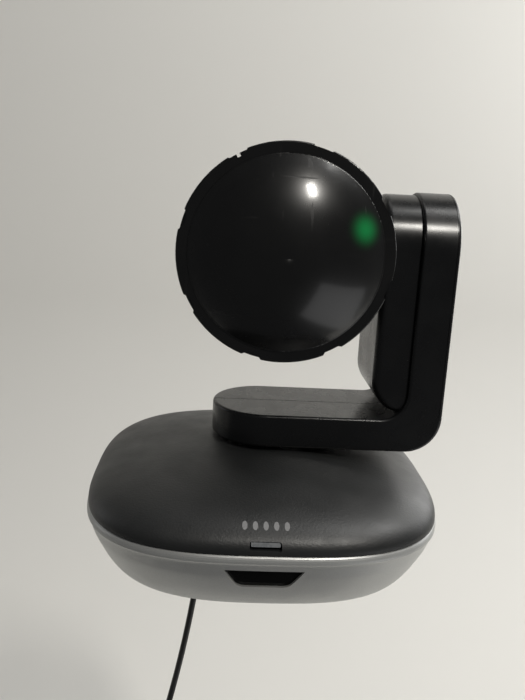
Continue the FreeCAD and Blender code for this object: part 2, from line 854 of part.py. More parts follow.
def rounded(base, radius, keep=lambda point: True):
    """Round an item's sharp edges."""
    doc.recompute()
    item = doc.addObject("Part::Fillet", "rounded")
    item.Base = base
    size = float(radius)
    item.Edges = [(index, size, size) for index in sharp_edges(base.Shape, keep)]
    return item


def arm_solid():
    return rounded(arm_form(0.0, 0.0), d.arm_edge_round)


def arm_seam():
    """A fine groove round the arm where its front and rear shells meet."""
    width = d.arm_seam * 2
    slab = middle_box((20.0, 0.0, 90.0), (120.0, width, 120.0))
    return cut(slab, arm_form(d.arm_seam * 1.5, d.arm_seam * 1.5))


def side_cover_slice(seam):
    low = d.side_cover_low - seam
    return box((d.upright_outer_x - d.side_cover_thickness - seam, -REACH / 2, low), (10.0, REACH, REACH))


def arm_screw_places():
    return [(28.0, -10.0), (44.0, -10.0), (28.0, 10.0), (44.0, 10.0)]


def arm_shells():
    outer = arm_solid()
    inner = arm_form(d.arm_wall, d.arm_wall + d.side_wall_extra)
    drive_low = BAR_TOP + 14.0
    drive_high = ARM_TOP - d.arm_half_depth + 9.5
    drive_half = d.chassis_half_depth + 0.2
    holes = [rod((0.0, 0.0, ARM_LOW - 1.0), UP, d.shaft_radius + 0.3, 4.0),
             box((UPRIGHT_INNER_X - 1.0, -drive_half, drive_low), (4.0, drive_half * 2, drive_high - drive_low))]
    for x, y in arm_screw_places():
        holes.append(rod((x, y, ARM_LOW - 1.0), UP, d.screw_radius + 0.1, 4.0))
        holes.append(rod((x, y, ARM_LOW - 1.0), UP, d.screw_head_radius + 0.2, 2.0))
    shell = cut(outer, inner, side_cover_slice(d.side_cover_seam), arm_seam(), *holes)
    front = box((-REACH / 2, -REACH, 0.0), (REACH * 2, REACH, REACH * 2))
    rear = box((-REACH / 2, 0.0, 0.0), (REACH * 2, REACH, REACH * 2))
    node("arm_front_shell", common(shell, front))
    node("arm_rear_shell", common(shell, rear))
    node("arm_side_cover", common(outer, side_cover_slice(0.0)))
    screws = [cap_screw((x, y, ARM_LOW + 1.0), UP, 2.2) for x, y in arm_screw_places()]
    node("arm_screws", group(*screws))


def housing_form(inset, right):
    """The housing on the upright's inner face: its lower end rolls under in a quarter round."""
    half_depth = d.arm_half_depth - d.housing_setback - inset
    left = HOUSING_LEFT_X + inset
    bend = d.housing_thickness - inset
    low = BAR_TOP + 1.6 + inset
    top = ARM_TOP - d.housing_top_drop - inset
    outline = [
        (right, top + 1.0), (left, top + 1.0), (left, low + bend),
        (left + bend, low, "arc", corner_arc(left, low, bend, 1, 1)),
        (right, low),
    ]
    profile = plate("XZ_Plane", (0.0, 0.0, 0.0), outline, half_depth * 2, both_ways=True)
    centre = top - half_depth
    side = fuse(rod((left, 0.0, centre), RIGHT, half_depth, right - left),
                box((left, -half_depth, low), (right - left, half_depth * 2, centre - low)))
    return common(profile, side)


def tilt_housing():
    face = UPRIGHT_INNER_X - d.housing_gap
    left_side = float(face) - 0.1
    solid = rounded(housing_form(0.0, face), d.housing_edge_round, lambda point: point.x < left_side)
    inner = housing_form(d.housing_wall, face + 1.0)
    hole = rod((HOUSING_LEFT_X - 1.0, 0.0, d.tilt_height), RIGHT, BUSH_OUTER_TILT + 0.02, 5.0)
    guard = arm_form(-d.housing_gap, 0.0)
    node("tilt_housing", cut(solid, inner, hole, guard))


BUSH_OUTER_TILT = d.tilt_shaft_radius + d.running_gap + d.bush_wall
PLATE_X = UPRIGHT_INNER_X + d.arm_wall + 0.1
TILT_PINION_HEIGHT = d.tilt_height - GEAR_CENTRES
SHAFT_START = d.head_middle_x + d.head_radius - d.shaft_start_drop


def arm_chassis():
    thick = d.chassis_thickness
    low = ARM_LOW + d.arm_wall + 0.1
    right = PLATE_X + thick
    nip = 2.5
    outline = [
        (-11.0, low), (right - nip, low), (right, low + nip), (right, d.tilt_height + 12.0),
        (PLATE_X, d.tilt_height + 12.0), (PLATE_X, low + thick), (-11.0, low + thick),
    ]
    bracket = plate("XZ_Plane", (0.0, 0.0, 0.0), outline, d.chassis_half_depth * 2, both_ways=True)
    holes = [rod((0.0, 0.0, 0.0), UP, d.shaft_radius + 0.01, REACH),
             rod((PLATE_X - 1.0, 0.0, d.tilt_height), RIGHT, BUSH_OUTER_TILT + 0.01, 5.0),
             rod((PLATE_X - 1.0, 0.0, TILT_PINION_HEIGHT), RIGHT, 3.0, 5.0)]
    for x, y in arm_screw_places():
        holes.append(rod((x, y, ARM_LOW), UP, d.screw_radius, 10.0))
    node("arm_chassis", cut(bracket, *holes))


def pan_shaft():
    """The hollow shaft that carries the arm; its collar rests on the upper bush's flange."""
    clip = d.pan_gear_height - 1.0
    low = clip - 0.6
    bore = d.shaft_bore
    outer = d.shaft_radius
    groove = outer - 0.5
    seat = d.tower_top + d.bush_flange_thickness + d.running_gap
    collar = outer + 3.4
    top = ARM_LOW + d.arm_wall + d.chassis_thickness + 2.0
    profile = [
        (bore, low), (outer, low), (outer, clip), (groove, clip), (groove, clip + 0.7), (outer, clip + 0.7),
        (outer, seat), (collar, seat), (collar, ARM_LOW - 0.02), (outer, ARM_LOW - 0.02), (outer, top),
        (bore, top),
    ]
    node("pan_shaft", turned((0.0, 0.0, 0.0), UP, profile))
    node("pan_clip", tube((0.0, 0.0, clip), UP, outer + 2.0, groove, 0.7))
    hub = d.frame_height - d.bush_flange_thickness - 0.1 - d.pan_gear_height - d.gear_thickness
    wheel = gear(d.gear_teeth, outer, d.gear_thickness, 9.0, hub)
    node("pan_gear", put(wheel, (0.0, 0.0, d.pan_gear_height)))


def tilt_drive():
    height = d.tilt_height
    inner = d.tilt_shaft_radius + d.running_gap
    flange = d.bush_flange_thickness
    inside = HOUSING_LEFT_X + d.housing_wall + flange
    near = flanged_bush((inside, 0.0, height), LEFT, inner, flange + d.housing_wall - 0.1)
    far = flanged_bush((PLATE_X - flange, 0.0, height), RIGHT, inner, flange + d.chassis_thickness)
    node("tilt_bushes", group(near, far))
    node("tilt_motor", motor((PLATE_X, 0.0, TILT_PINION_HEIGHT), LEFT))
    gear_x = PLATE_X + d.chassis_thickness + 0.8
    half_pitch = 180.0 / float(d.pinion_teeth)
    pinion = gear(d.pinion_teeth, d.motor_shaft_radius, d.gear_thickness, 2.4, 0.8, half_pitch)
    start = PLATE_X - d.motor_length
    shaft = rod((start, 0.0, TILT_PINION_HEIGHT), RIGHT, d.motor_shaft_radius,
                gear_x + d.gear_thickness - start)
    node("tilt_pinion", group(put(pinion, (gear_x, 0.0, TILT_PINION_HEIGHT), RIGHT), shaft))
    wheel = gear(d.gear_teeth, d.tilt_shaft_radius, d.gear_thickness, 8.0, 0.8)
    node("tilt_gear", put(wheel, (gear_x, 0.0, height), RIGHT))
    bore = d.tilt_shaft_bore
    outer = d.tilt_shaft_radius
    groove = outer - 0.5
    first = SHAFT_START
    clip = gear_x + d.gear_thickness + 0.85
    profile = [(bore, 0.0), (outer, 0.0), (outer, clip - first), (groove, clip - first),
               (groove, clip - first + 0.6), (outer, clip - first + 0.6), (outer, clip - first + 1.0),
               (bore, clip - first + 1.0)]
    node("tilt_shaft", turned((first, 0.0, height), RIGHT, profile))
    node("tilt_clip", tube((clip, 0.0, height), RIGHT, outer + 1.6, groove, 0.6))


# ---------------------------------------------------------------- head

def head_turned(profile):
    """A piece turned about the head's front-to-back axis; heights run forwards from the tilt axis."""
    return turned(HEAD, FRONT, profile)


def head_rod(x, z, start, length, radius):
    """A rod along the head's axis, from a distance in front of the tilt axis, running back."""
    return rod((d.head_middle_x + x, -start, d.tilt_height + z), BACK, radius, length)


def screw_spots():
    spread = d.head_radius - d.head_screw_drop
    return [(spread * math.cos(math.radians(a)), spread * math.sin(math.radians(a))) for a in (60, 180, 300)]


def shaft_hole(radius):
    return rod((SHAFT_START - 4.0, 0.0, d.tilt_height), RIGHT, radius, 20.0)


def head_front_shell():
    outer = d.head_radius
    inner = outer - d.head_wall
    front = d.head_front
    bend = 1.6
    ledge = inner - 1.6
    seat = front - d.bezel_thickness - 0.4
    mid = bend * CORNER_SHARE
    profile = [
        (inner, -d.head_split), (outer, -d.head_split), (outer, front - bend),
        (outer - bend, front, "arc", (outer - mid, front - mid)),
        (inner, front), (inner, seat), (ledge, seat), (ledge, seat - 1.6), (inner, seat - 1.6),
    ]
    posts = []
    for x, z in screw_spots():
        post = head_rod(x, z, 2.0, d.head_split + 2.0, 3.8)
        posts.append(cut(post, head_rod(x, z, 2.5, 30.0, d.screw_radius)))
    node("head_front_shell", cut(fuse(head_turned(profile), *posts), shaft_hole(d.tilt_shaft_radius + 0.3)))


def half_ellipsoid(radius, depth):
    """The domed back: half an ellipsoid behind the shells' joint."""
    item = doc.addObject("Part::Ellipsoid", "dome")
    bind(item, "Radius1", depth)
    bind(item, "Radius2", radius)
    bind(item, "Radius3", radius)
    item.Angle1 = 0.0
    item.Angle2 = 90.0
    return put(item, (d.head_middle_x, d.head_split, d.tilt_height), BACK)


def head_rear_shell():
    depth = d.head_back - d.head_split
    outer = half_ellipsoid(d.head_radius, depth)
    inner = half_ellipsoid(d.head_radius - d.head_wall, depth - d.head_wall)
    posts = []
    wells = []
    for x, z in screw_spots():
        posts.append(head_rod(x, z, -d.head_split, 9.0, 3.8))
        wells.append(head_rod(x, z, -d.head_split - 3.0, 40.0, d.screw_head_radius + 0.3))
        wells.append(head_rod(x, z, 0.0, 40.0, d.screw_radius + 0.1))
    node("head_rear_shell", cut(fuse(cut(outer, inner), *posts), *wells))
    screws = []
    for x, z in screw_spots():
        place = (d.head_middle_x + x, d.head_split + 3.0, d.tilt_height + z)
        screws.append(cap_screw(place, FRONT, 9.0))
    node("head_screws", group(*screws))


def bezel():
    back = d.head_front - d.bezel_thickness - 0.4
    outer = d.head_radius - d.head_wall - 0.05
    inner = d.lens_radius + 1.4
    front = back + d.bezel_thickness
    profile = [(inner, back), (outer, back), (outer, front - 0.3), (outer - 0.3, front),
               (inner + 1.2, front), (inner, front - 1.2)]
    light_x = d.head_radius - d.head_light_drop
    light_z = d.head_light_height
    hole = head_rod(light_x, light_z, d.head_front + 5.0, 20.0, 1.5)
    node("front_bezel", cut(head_turned(profile), hole))
    node("head_light_guide", head_rod(light_x, light_z, front - 0.1, d.bezel_thickness + 1.9, 1.45))
    led = middle_box((d.head_middle_x + light_x, -back + 2.9, d.tilt_height + light_z), (3.0, 1.6, 3.0))
    node("head_led", led)


def head_frame():
    """The frame inside the head: a ring round the lens barrel, a boss for the shaft and two struts."""
    ring = rod((d.head_middle_x, -8.0, d.tilt_height), BACK, d.barrel_radius + 2.4, 14.0)
    boss_x = d.head_middle_x + d.head_radius - d.shaft_boss_drop
    boss = middle_box((boss_x, 0.0, d.tilt_height), (9.0, 12.0, 15.0))
    strut_reach = d.head_radius - d.head_wall - 0.15
    strut = middle_box((d.head_middle_x, -2.0, d.tilt_height), (8.0, 6.0, strut_reach * 2 - 1.0))
    hollow = rod((d.head_middle_x, -20.0, d.tilt_height), BACK, d.barrel_radius + 0.02, 40.0)
    seat = rod((SHAFT_START, 0.0, d.tilt_height), RIGHT, d.tilt_shaft_radius + 0.01, 10.0)
    wires = rod((d.head_middle_x + 10.0, 0.0, d.tilt_height), RIGHT, d.tilt_shaft_bore, 20.0)
    node("head_frame", cut(fuse(ring, boss, strut), hollow, seat, wires))
    hub_end = HOUSING_LEFT_X - d.hub_gap
    start = d.head_middle_x + d.head_radius - d.hub_start_drop
    hub = rod((start, 0.0, d.tilt_height), RIGHT, d.hub_radius, hub_end - start)
    drum = rod((d.head_middle_x, -REACH / 2, d.tilt_height), BACK, d.head_radius + 0.02, REACH)
    node("tilt_hub", cut(hub, drum, shaft_hole(d.tilt_shaft_radius + 0.01)))


def lens_barrel():
    outer = d.barrel_radius
    inner = outer - d.barrel_wall
    back = -d.barrel_back
    front = d.head_front - d.bezel_thickness - 0.5
    seat = d.lens_radius + 0.03
    wall_back = back + 4.0
    wall_front = wall_back + 1.6
    profile = [
        (inner, back), (outer, back), (outer, front), (seat, front), (seat, front - 4.0),
        (inner, front - 4.0), (inner, wall_front),
        (d.rear_lens_radius + 0.02, wall_front), (d.rear_lens_radius + 0.02, wall_back), (inner, wall_back),
    ]
    node("lens_barrel", head_turned(profile))
    across = d.lens_radius - 1.0
    crown_start = front + 0.2
    glass = [(0.0, front - 3.6), (d.lens_radius, front - 3.6), (d.lens_radius, front - 0.6),
             (across, crown_start),
             (0.0, crown_start + d.lens_bulge, "arc", dome_mid(across, d.lens_bulge, crown_start))]
    node("front_lens", head_turned(glass))
    node("rear_lens", lens((d.head_middle_x, -wall_back, d.tilt_height), d.rear_lens_radius, 1.6))
    rods = []
    for side in (-1, 1):
        rods.append(head_rod(d.rod_spacing * side, 0.0, front - 4.0, front - 4.0 - wall_front, d.rod_radius))
    node("guide_rods", group(*rods))


def lens(place, radius, thickness):
    """A lens with both faces domed, along the head's axis from its back rim at the place."""
    bulge = d.small_lens_bulge
    across, front = dome_mid(radius, bulge, Size("0", 0.0))
    profile = [
        (radius, 0.0, "arc", (across, -front)), (radius, thickness),
        (0.0, bulge + thickness, "arc", (across, front + thickness)), (0.0, -bulge),
    ]
    return turned(place, FRONT, profile)


def carriage(name, place_forward):
    """A lens carriage: a ring with an ear round each guide rod, and its lens."""
    long = d.carriage_length
    back = place_forward
    ring = tube((d.head_middle_x, -back, d.tilt_height), FRONT, d.carriage_radius, d.carriage_bore, long)
    ears = []
    holes = []
    for side in (-1, 1):
        middle = (d.head_middle_x + d.rod_spacing * side * 0.95, -back - long / 2, d.tilt_height)
        ears.append(middle_box(middle, (4.6, long, 4.4)))
        holes.append(head_rod(d.rod_spacing * side, 0.0, 40.0, 80.0, d.rod_radius + d.running_gap))
    node(name + "_carriage", cut(fuse(ring, *ears), *holes))
    lens_place = (d.head_middle_x, -back - 1.2, d.tilt_height)
    node(name + "_lens", lens(lens_place, d.carriage_bore - 0.02, 2.4))


def sensor():
    board_start = -d.barrel_back - 0.05
    board = middle_box((d.head_middle_x, -board_start + 0.8, d.tilt_height), (34.0, 1.6, 30.0))
    node("sensor_board", board)
    chip = middle_box((d.head_middle_x, -board_start - 0.6, d.tilt_height), (9.0, 1.2, 7.0))
    node("image_sensor", chip)


# ---------------------------------------------------------------- lens cap

def cap_slit(turn_degrees, across, start, length):
    """A radial slit through the cap's skirt, running back from a height in front of the tilt axis."""
    angle = math.radians(turn_degrees)
    slit = doc.addObject("Part::Box", "slit")
    bind(slit, "Length", 4.0)
    bind(slit, "Width", d.cap_slot_width)
    bind(slit, "Height", length)
    turn = FreeCAD.Rotation(FreeCAD.Vector(1, 0, 0), 90).multiply(
        FreeCAD.Rotation(FreeCAD.Vector(0, 0, 1), turn_degrees))
    base = (across * math.cos(angle) + d.cap_slot_width / 2 * math.sin(angle) + d.head_middle_x,
            length - start,
            across * math.sin(angle) - d.cap_slot_width / 2 * math.cos(angle) + d.tilt_height)
    slit.Placement = FreeCAD.Placement(vec(*base), turn)
    for letter, size in zip("xyz", base):
        bind(slit, f"Placement.Base.{letter}", size)
    return slit


def lens_cap():
    front = d.cap_flange_front
    back = front - d.cap_wall
    inner = d.head_radius + d.cap_grip_gap
    outer = inner + d.cap_skirt_wall
    low = back - d.cap_skirt_length
    dome = d.cap_dome_radius
    hollow = dome - d.cap_wall
    rise = d.cap_dome_rise
    edge = d.cap_edge_round
    mid = edge * CORNER_SHARE
    rim = d.cap_flange_radius
    step = d.cap_dome_step
    crown_rise = rise - step
    profile = [
        (0.0, front + rise), (0.0, back + rise), (hollow, back, "arc", dome_mid(hollow, rise, back)),
        (inner, back), (inner, low), (outer, low), (outer, back), (rim, back), (rim, front - edge),
        (rim - edge, front, "arc", (rim - mid, front - mid)), (dome, front),
        (dome - step, front + step, "arc", (dome - step * CORNER_SHARE, front + step - step * CORNER_SHARE)),
    ]
    profile[0] += ("arc", dome_mid(dome - step, crown_rise, front + step))
    cap = head_turned(profile)
    notches = []
    first = 29.0
    pitch = 45.0
    place = d.cap_flange_radius + d.cap_notch_radius - d.cap_notch_depth
    for k in range(8):
        angle = math.radians(first + pitch * k)
        notch = rod((place * math.cos(angle) + d.head_middle_x, -front - 1.0,
                     place * math.sin(angle) + d.tilt_height), BACK, d.cap_notch_radius, d.cap_wall + 1.0)
        notches.append(notch)
    notches.append(cap_slit(first + pitch * 2, inner - 0.6, back, d.cap_skirt_length + 2.0))
    node("lens_cap", cut(cap, *notches))


# ---------------------------------------------------------------- lead

# The lead's route from the strain relief's end, hanging down behind the base to the coil; and the
# tail from the coil to the far plug. Chosen by hand.
LEAD_ROUTE = [
    (-11.0, 85.4, 14.0), (-11.0, 95.4, 14.0), (-12.1, 105.4, 8.4), (-13.3, 111.0, -1.4),
    (-15.0, 112.4, -12.8), (-18.8, 112.0, -36.5), (-23.2, 111.0, -68.5), (-27.2, 110.2, -101.5),
    (-32.4, 110.0, -134.0), (-38.6, 109.4, -164.5), (-42.0, 107.2, -177.0), (-46.8, 104.0, -188.0),
]
TAIL_ROUTE = [(-50.0, 116.4, -202.5), (-50.6, 116.0, -217.0), (-50.6, 116.0, -231.0)]
COIL_MIDDLE = (-29.5, 110.0, -202.5)
RUN_SHARE = 0.45


def rounded_path(route):
    """Straight runs joined by tangent arcs as large as the runs allow."""
    points = [FreeCAD.Vector(*point) for point in route]
    edges = []
    radii = []
    last = points[0]
    for before, corner, after in zip(points, points[1:], points[2:]):
        into = (corner - before).normalize()
        out = (after - corner).normalize()
        trim = RUN_SHARE * min((corner - before).Length, (after - corner).Length)
        radii.append(trim / math.tan(into.getAngle(out) / 2))
        start = corner - into * trim
        end = corner + out * trim
        edges.append(Part.LineSegment(last, start).toShape())
        centre_way = (out - into).normalize()
        to_centre = math.sqrt(trim ** 2 + radii[-1] ** 2)
        middle = corner + centre_way * (to_centre - radii[-1])
        edges.append(Part.Arc(start, middle, end).toShape())
        last = end
    edges.append(Part.LineSegment(last, points[-1]).toShape())
    return Part.Wire(edges), radii


def cord_tube(route):
    path, radii = rounded_path(route)
    start = FreeCAD.Vector(*route[0])
    along = FreeCAD.Vector(*route[1]) - start
    ring = Part.Wire([Part.makeCircle(float(d.lead_radius), start, along)])
    solid = path.makePipeShell([ring], True, False)
    ideal = math.pi * float(d.lead_radius) ** 2 * path.Length
    print("cord radii", [round(radius, 1) for radius in radii], "length", round(path.Length, 1),
          "volume over section times length", round(solid.Volume / ideal, 4))
    return feature(solid)


def torus_part(bundle, start_angle, sweep):
    item = doc.addObject("Part::Torus", "ring")
    bind(item, "Radius1", d.coil_mean_radius)
    bind(item, "Radius2", bundle)
    item.Angle3 = sweep
    # the ring lies in the XZ plane, and its sweep starts at an angle from +X towards +Z
    tip = FreeCAD.Rotation(FreeCAD.Vector(1, 0, 0), 90)
    item.Placement = FreeCAD.Placement(vec(*COIL_MIDDLE),
                                       tip.multiply(FreeCAD.Rotation(FreeCAD.Vector(0, 0, 1), start_angle)))
    return item


def relief(place, direction, length, wide, narrow):
    """A tapered strain relief with grooves round it, from its wide end at the place."""
    grooves = 4
    pitch = length / (grooves + 1)
    profile = [(0.0, 0.0), (wide, 0.0)]
    for i in range(1, grooves + 1):
        share = i / (grooves + 1)
        radius = wide + (narrow - wide) * share
        profile += [(radius, pitch * i - 0.5), (radius - 0.5, pitch * i - 0.4),
                    (radius - 0.5, pitch * i + 0.4), (radius, pitch * i + 0.5)]
    profile += [(narrow, length), (0.0, length)]
    return turned(place, direction, profile)


def plug_form(place, direction, body_length, body_radius, pin_length):
    """A round moulded plug: its body from the place along the direction, its pin behind."""
    pin = 2.8
    edge = 0.8
    profile = [(0.0, -pin_length), (pin, -pin_length), (pin, 0.0), (body_radius - edge, 0.0),
               (body_radius, edge), (body_radius, body_length - edge), (body_radius - edge, body_length),
               (0.0, body_length)]
    return turned(place, direction, profile)


def lead():
    x = d.socket_middle_x
    z = d.socket_height
    face = 62.4
    node("lead_plug", plug_form((x, face, z), BACK, d.plug_length, d.plug_radius, 9.0))
    node("strain_relief", relief((x, d.plug_length + face, z), BACK, d.relief_length, 3.4, 2.2))
    node("lead", cord_tube(LEAD_ROUTE))
    node("lead_coil", torus_part(d.coil_bundle_radius, 0.0, 360.0))
    tie = cut(torus_part(d.coil_bundle_radius + 1.2, 78.0, 24.0),
              torus_part(d.coil_bundle_radius + 0.02, 60.0, 60.0))
    node("coil_tie", tie)
    node("lead_tail", cord_tube(TAIL_ROUTE))
    end = FreeCAD.Vector(*TAIL_ROUTE[-1])
    taper = relief((end.x, end.y, end.z - 10.0), UP, 10.0, 3.4, 2.2)
    body = plug_form((end.x, end.y, end.z - 26.0), UP, 16.0, d.plug_radius, 9.0)
    node("far_plug", fuse(body, taper))


# ---------------------------------------------------------------- the whole camera

def build_all():
    base_bowl()
    ir_window()
    base_cover()
    status_light()
    foot_and_insert()
    boards()
    lead_socket()
    pan_frame()
    pan_bearings()
    pan_drive()
    cover_screws()
    arm_shells()
    tilt_housing()
    arm_chassis()
    pan_shaft()
    tilt_drive()
    head_front_shell()
    head_rear_shell()
    bezel()
    head_frame()
    lens_barrel()
    carriage("zoom", d.zoom_place)
    carriage("focus", d.focus_place)
    sensor()
    lens_cap()
    lead()
    doc.recompute()


def check_all():
    """Every object has to be up to date, and every sub-part a valid, closed shape."""
    for item in doc.Objects:
        if "Invalid" in item.State or "Error" in item.State:
            raise RuntimeError(f"{item.Name} ({item.Label}) failed: {item.State}")
    for name, item in NODES.items():
        shape = item.Shape
        if shape.isNull() or not shape.isValid() or not shape.Solids:
            raise RuntimeError(f"{name} has no valid solid")


def export_all():
    os.makedirs("parts", exist_ok=True)
    for name, item in NODES.items():
        item.Shape.exportStep(os.path.join("parts", name + ".step"))


build_all()
check_all()
export_all()
print(len(NODES), "sub-parts")
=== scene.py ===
import json
import math

import bmesh
import bpy
from mathutils import Matrix, Vector
from mathutils.bvhtree import BVHTree


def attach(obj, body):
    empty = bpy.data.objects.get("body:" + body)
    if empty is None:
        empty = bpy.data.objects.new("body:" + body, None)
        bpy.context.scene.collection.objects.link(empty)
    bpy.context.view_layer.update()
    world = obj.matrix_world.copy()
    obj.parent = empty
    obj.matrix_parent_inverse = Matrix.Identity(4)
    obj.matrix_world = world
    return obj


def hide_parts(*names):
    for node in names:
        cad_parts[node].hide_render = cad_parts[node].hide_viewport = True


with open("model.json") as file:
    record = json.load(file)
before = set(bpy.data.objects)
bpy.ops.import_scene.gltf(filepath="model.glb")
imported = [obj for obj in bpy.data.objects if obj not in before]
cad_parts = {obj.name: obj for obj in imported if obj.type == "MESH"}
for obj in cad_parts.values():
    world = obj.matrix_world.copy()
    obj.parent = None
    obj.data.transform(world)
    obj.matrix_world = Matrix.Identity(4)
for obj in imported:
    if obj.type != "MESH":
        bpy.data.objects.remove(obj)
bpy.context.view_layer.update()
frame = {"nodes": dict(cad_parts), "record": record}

# A pan-tilt-zoom camera with its lens cap on. Metres, in the frame's own axes: +Z up, front -Y.

MM = 0.001
scene = bpy.context.scene


# ---------------------------------------------------------------- camera

CAMERA_PLACE = Vector((-18.3, -281.0, 141.0)) * MM
CAMERA_YAW = math.radians(3.33)
CAMERA_PITCH = math.radians(-13.25)
CAMERA_ROLL = math.radians(3.23)
CAMERA_LENS = 39.1
SENSOR = 36.0
CLIP_START = 0.01
CLIP_END = 20.0


def make_camera():
    """The camera looks mostly along +Y, slightly down, and is rolled a little."""
    forward = Vector((math.sin(CAMERA_YAW) * math.cos(CAMERA_PITCH),
                      math.cos(CAMERA_YAW) * math.cos(CAMERA_PITCH),
                      math.sin(CAMERA_PITCH)))
    right = forward.cross(Vector((0, 0, 1))).normalized()
    up = right.cross(forward)
    rolled_right = right * math.cos(CAMERA_ROLL) + up * math.sin(CAMERA_ROLL)
    rolled_up = up * math.cos(CAMERA_ROLL) - right * math.sin(CAMERA_ROLL)
    data = bpy.data.cameras.new("camera")
    data.lens = CAMERA_LENS
    data.sensor_width = SENSOR
    data.clip_start = CLIP_START
    data.clip_end = CLIP_END
    camera = bpy.data.objects.new("camera", data)
    turn = Matrix((rolled_right, rolled_up, -forward)).transposed().to_4x4()
    camera.matrix_world = Matrix.Translation(CAMERA_PLACE) @ turn
    scene.collection.objects.link(camera)
    scene.camera = camera


# ---------------------------------------------------------------- material helpers

class Nodes:
    """A node material being built: short calls that add a node and link it."""

    def __init__(self, name):
        self.material = bpy.data.materials.new(name)
        self.material.use_nodes = True
        self.tree = self.material.node_tree
        self.tree.nodes.clear()
        self.shader = self.add("ShaderNodeBsdfPrincipled")
        self.output = self.add("ShaderNodeOutputMaterial")
        self.link(self.shader, "BSDF", self.output, "Surface")
        self.place = self.add("ShaderNodeTexCoord")

    def add(self, kind, **values):
        item = self.tree.nodes.new(kind)
        for key, value in values.items():
            setattr(item, key, value)
        return item

    def link(self, source, out, target, into):
        self.tree.links.new(source.outputs[out], target.inputs[into])

    def set(self, **values):
        """Plain values on the shader; an underscore in a name stands for a space."""
        for key, value in values.items():
            self.shader.inputs[key.replace("_", " ")].default_value = value

    def noise(self, scale, detail=3.0, roughness=0.5, stretch=None):
        item = self.add("ShaderNodeTexNoise")
        item.inputs["Scale"].default_value = scale
        item.inputs["Detail"].default_value = detail
        item.inputs["Roughness"].default_value = roughness
        if stretch is None:
            self.link(self.place, "Object", item, "Vector")
        else:
            mapping = self.add("ShaderNodeMapping")
            mapping.inputs["Scale"].default_value = stretch
            self.link(self.place, "Object", mapping, "Vector")
            self.link(mapping, "Vector", item, "Vector")
        return item

    def ramp(self, source, out, stops):
        """Colours or greys along a value: stops are (position, grey or colour)."""
        item = self.add("ShaderNodeValToRGB")
        band = item.color_ramp
        while len(band.elements) < len(stops):
            band.elements.new(0.5)
        for element, (position, colour) in zip(band.elements, stops):
            element.position = position
            if isinstance(colour, float):
                colour = (colour, colour, colour)
            element.color = (*colour, 1.0)
        self.link(source, out, item, "Fac")
        return item

    def mix(self, factor, first, second):
        """A colour mix; factor, first and second are (node, output) pairs or plain colours."""
        item = self.add("ShaderNodeMix", data_type="RGBA")
        for socket, value in ((item.inputs[0], factor), (item.inputs[6], first), (item.inputs[7], second)):
            if isinstance(value, tuple) and hasattr(value[0], "outputs"):
                self.tree.links.new(value[0].outputs[value[1]], socket)
            elif isinstance(value, tuple):
                socket.default_value = (*value, 1.0)
            else:
                socket.default_value = value
        return item

    def math(self, operation, first, second=None):
        item = self.add("ShaderNodeMath", operation=operation)
        for socket, value in zip(item.inputs, (first, second)):
            if isinstance(value, tuple):
                self.tree.links.new(value[0].outputs[value[1]], socket)
            elif value is not None:
                socket.default_value = value
        return item

    def bump(self, source, out, strength, distance, under=None):
        item = self.add("ShaderNodeBump")
        item.inputs["Strength"].default_value = strength
        item.inputs["Distance"].default_value = distance
        self.link(source, out, item, "Height")
        if under is not None:
            self.link(under, "Normal", item, "Normal")
        return item

    def normal(self, bump):
        self.link(bump, "Normal", self.shader, "Normal")


# ---------------------------------------------------------------- materials

def grained_plastic(name, base, variation, roughness, grain_scale, grain_depth, coat=0.0, ior=1.5):
    """Moulded plastic: a fine spark-eroded grain, faint patches of wear and dust."""
    m = Nodes(name)
    patches = m.noise(38.0, 4.0)
    tone = m.ramp(patches, "Fac", [(0.3, tuple(c * (1 - variation) for c in base)),
                                   (0.7, tuple(c * (1 + variation) for c in base))])
    m.link(tone, "Color", m.shader, "Base Color")
    shine = m.ramp(m.noise(90.0, 5.0, 0.6), "Fac", [(0.3, roughness - 0.05), (0.7, roughness + 0.06)])
    m.link(shine, "Color", m.shader, "Roughness")
    m.set(IOR=ior, Coat_Weight=coat, Coat_Roughness=0.16)
    coarse = m.bump(m.noise(140.0, 2.0), "Fac", 0.05, 0.0004)
    m.normal(m.bump(m.noise(grain_scale, 2.0, 0.55), "Fac", 0.5, grain_depth, coarse))
    return m.material


def silver_paint():
    """Satin silver paint: fine flakes in a smooth coat."""
    m = Nodes("silver_paint")
    flakes = m.noise(5200.0, 2.0, 0.7)
    tone = m.ramp(flakes, "Fac", [(0.3, (0.40, 0.405, 0.40)), (0.7, (0.53, 0.535, 0.525))])
    m.link(tone, "Color", m.shader, "Base Color")
    shine = m.ramp(m.noise(60.0, 4.0), "Fac", [(0.3, 0.36), (0.7, 0.44)])
    m.link(shine, "Color", m.shader, "Roughness")
    m.set(Metallic=0.55, Coat_Weight=0.15, Coat_Roughness=0.3)
    soft = m.bump(m.noise(70.0, 2.0), "Fac", 0.03, 0.0005)
    m.normal(m.bump(flakes, "Fac", 0.12, 0.00003, soft))
    return m.material


# Painted glow on the cap: an emissive green patch, fading from this place, in place of the LED light showing
# through.
GLOW_PLACE = Vector((27.0, -44.5, 125.4)) * MM
GLOW_REACH = 10.0 * MM
GLOW_FALL = 2.2
GLOW_COLOUR = (0.0, 0.34, 0.075)
GLOW_STRENGTH = 0.55
SCRATCH_ROUGHNESS = 0.25


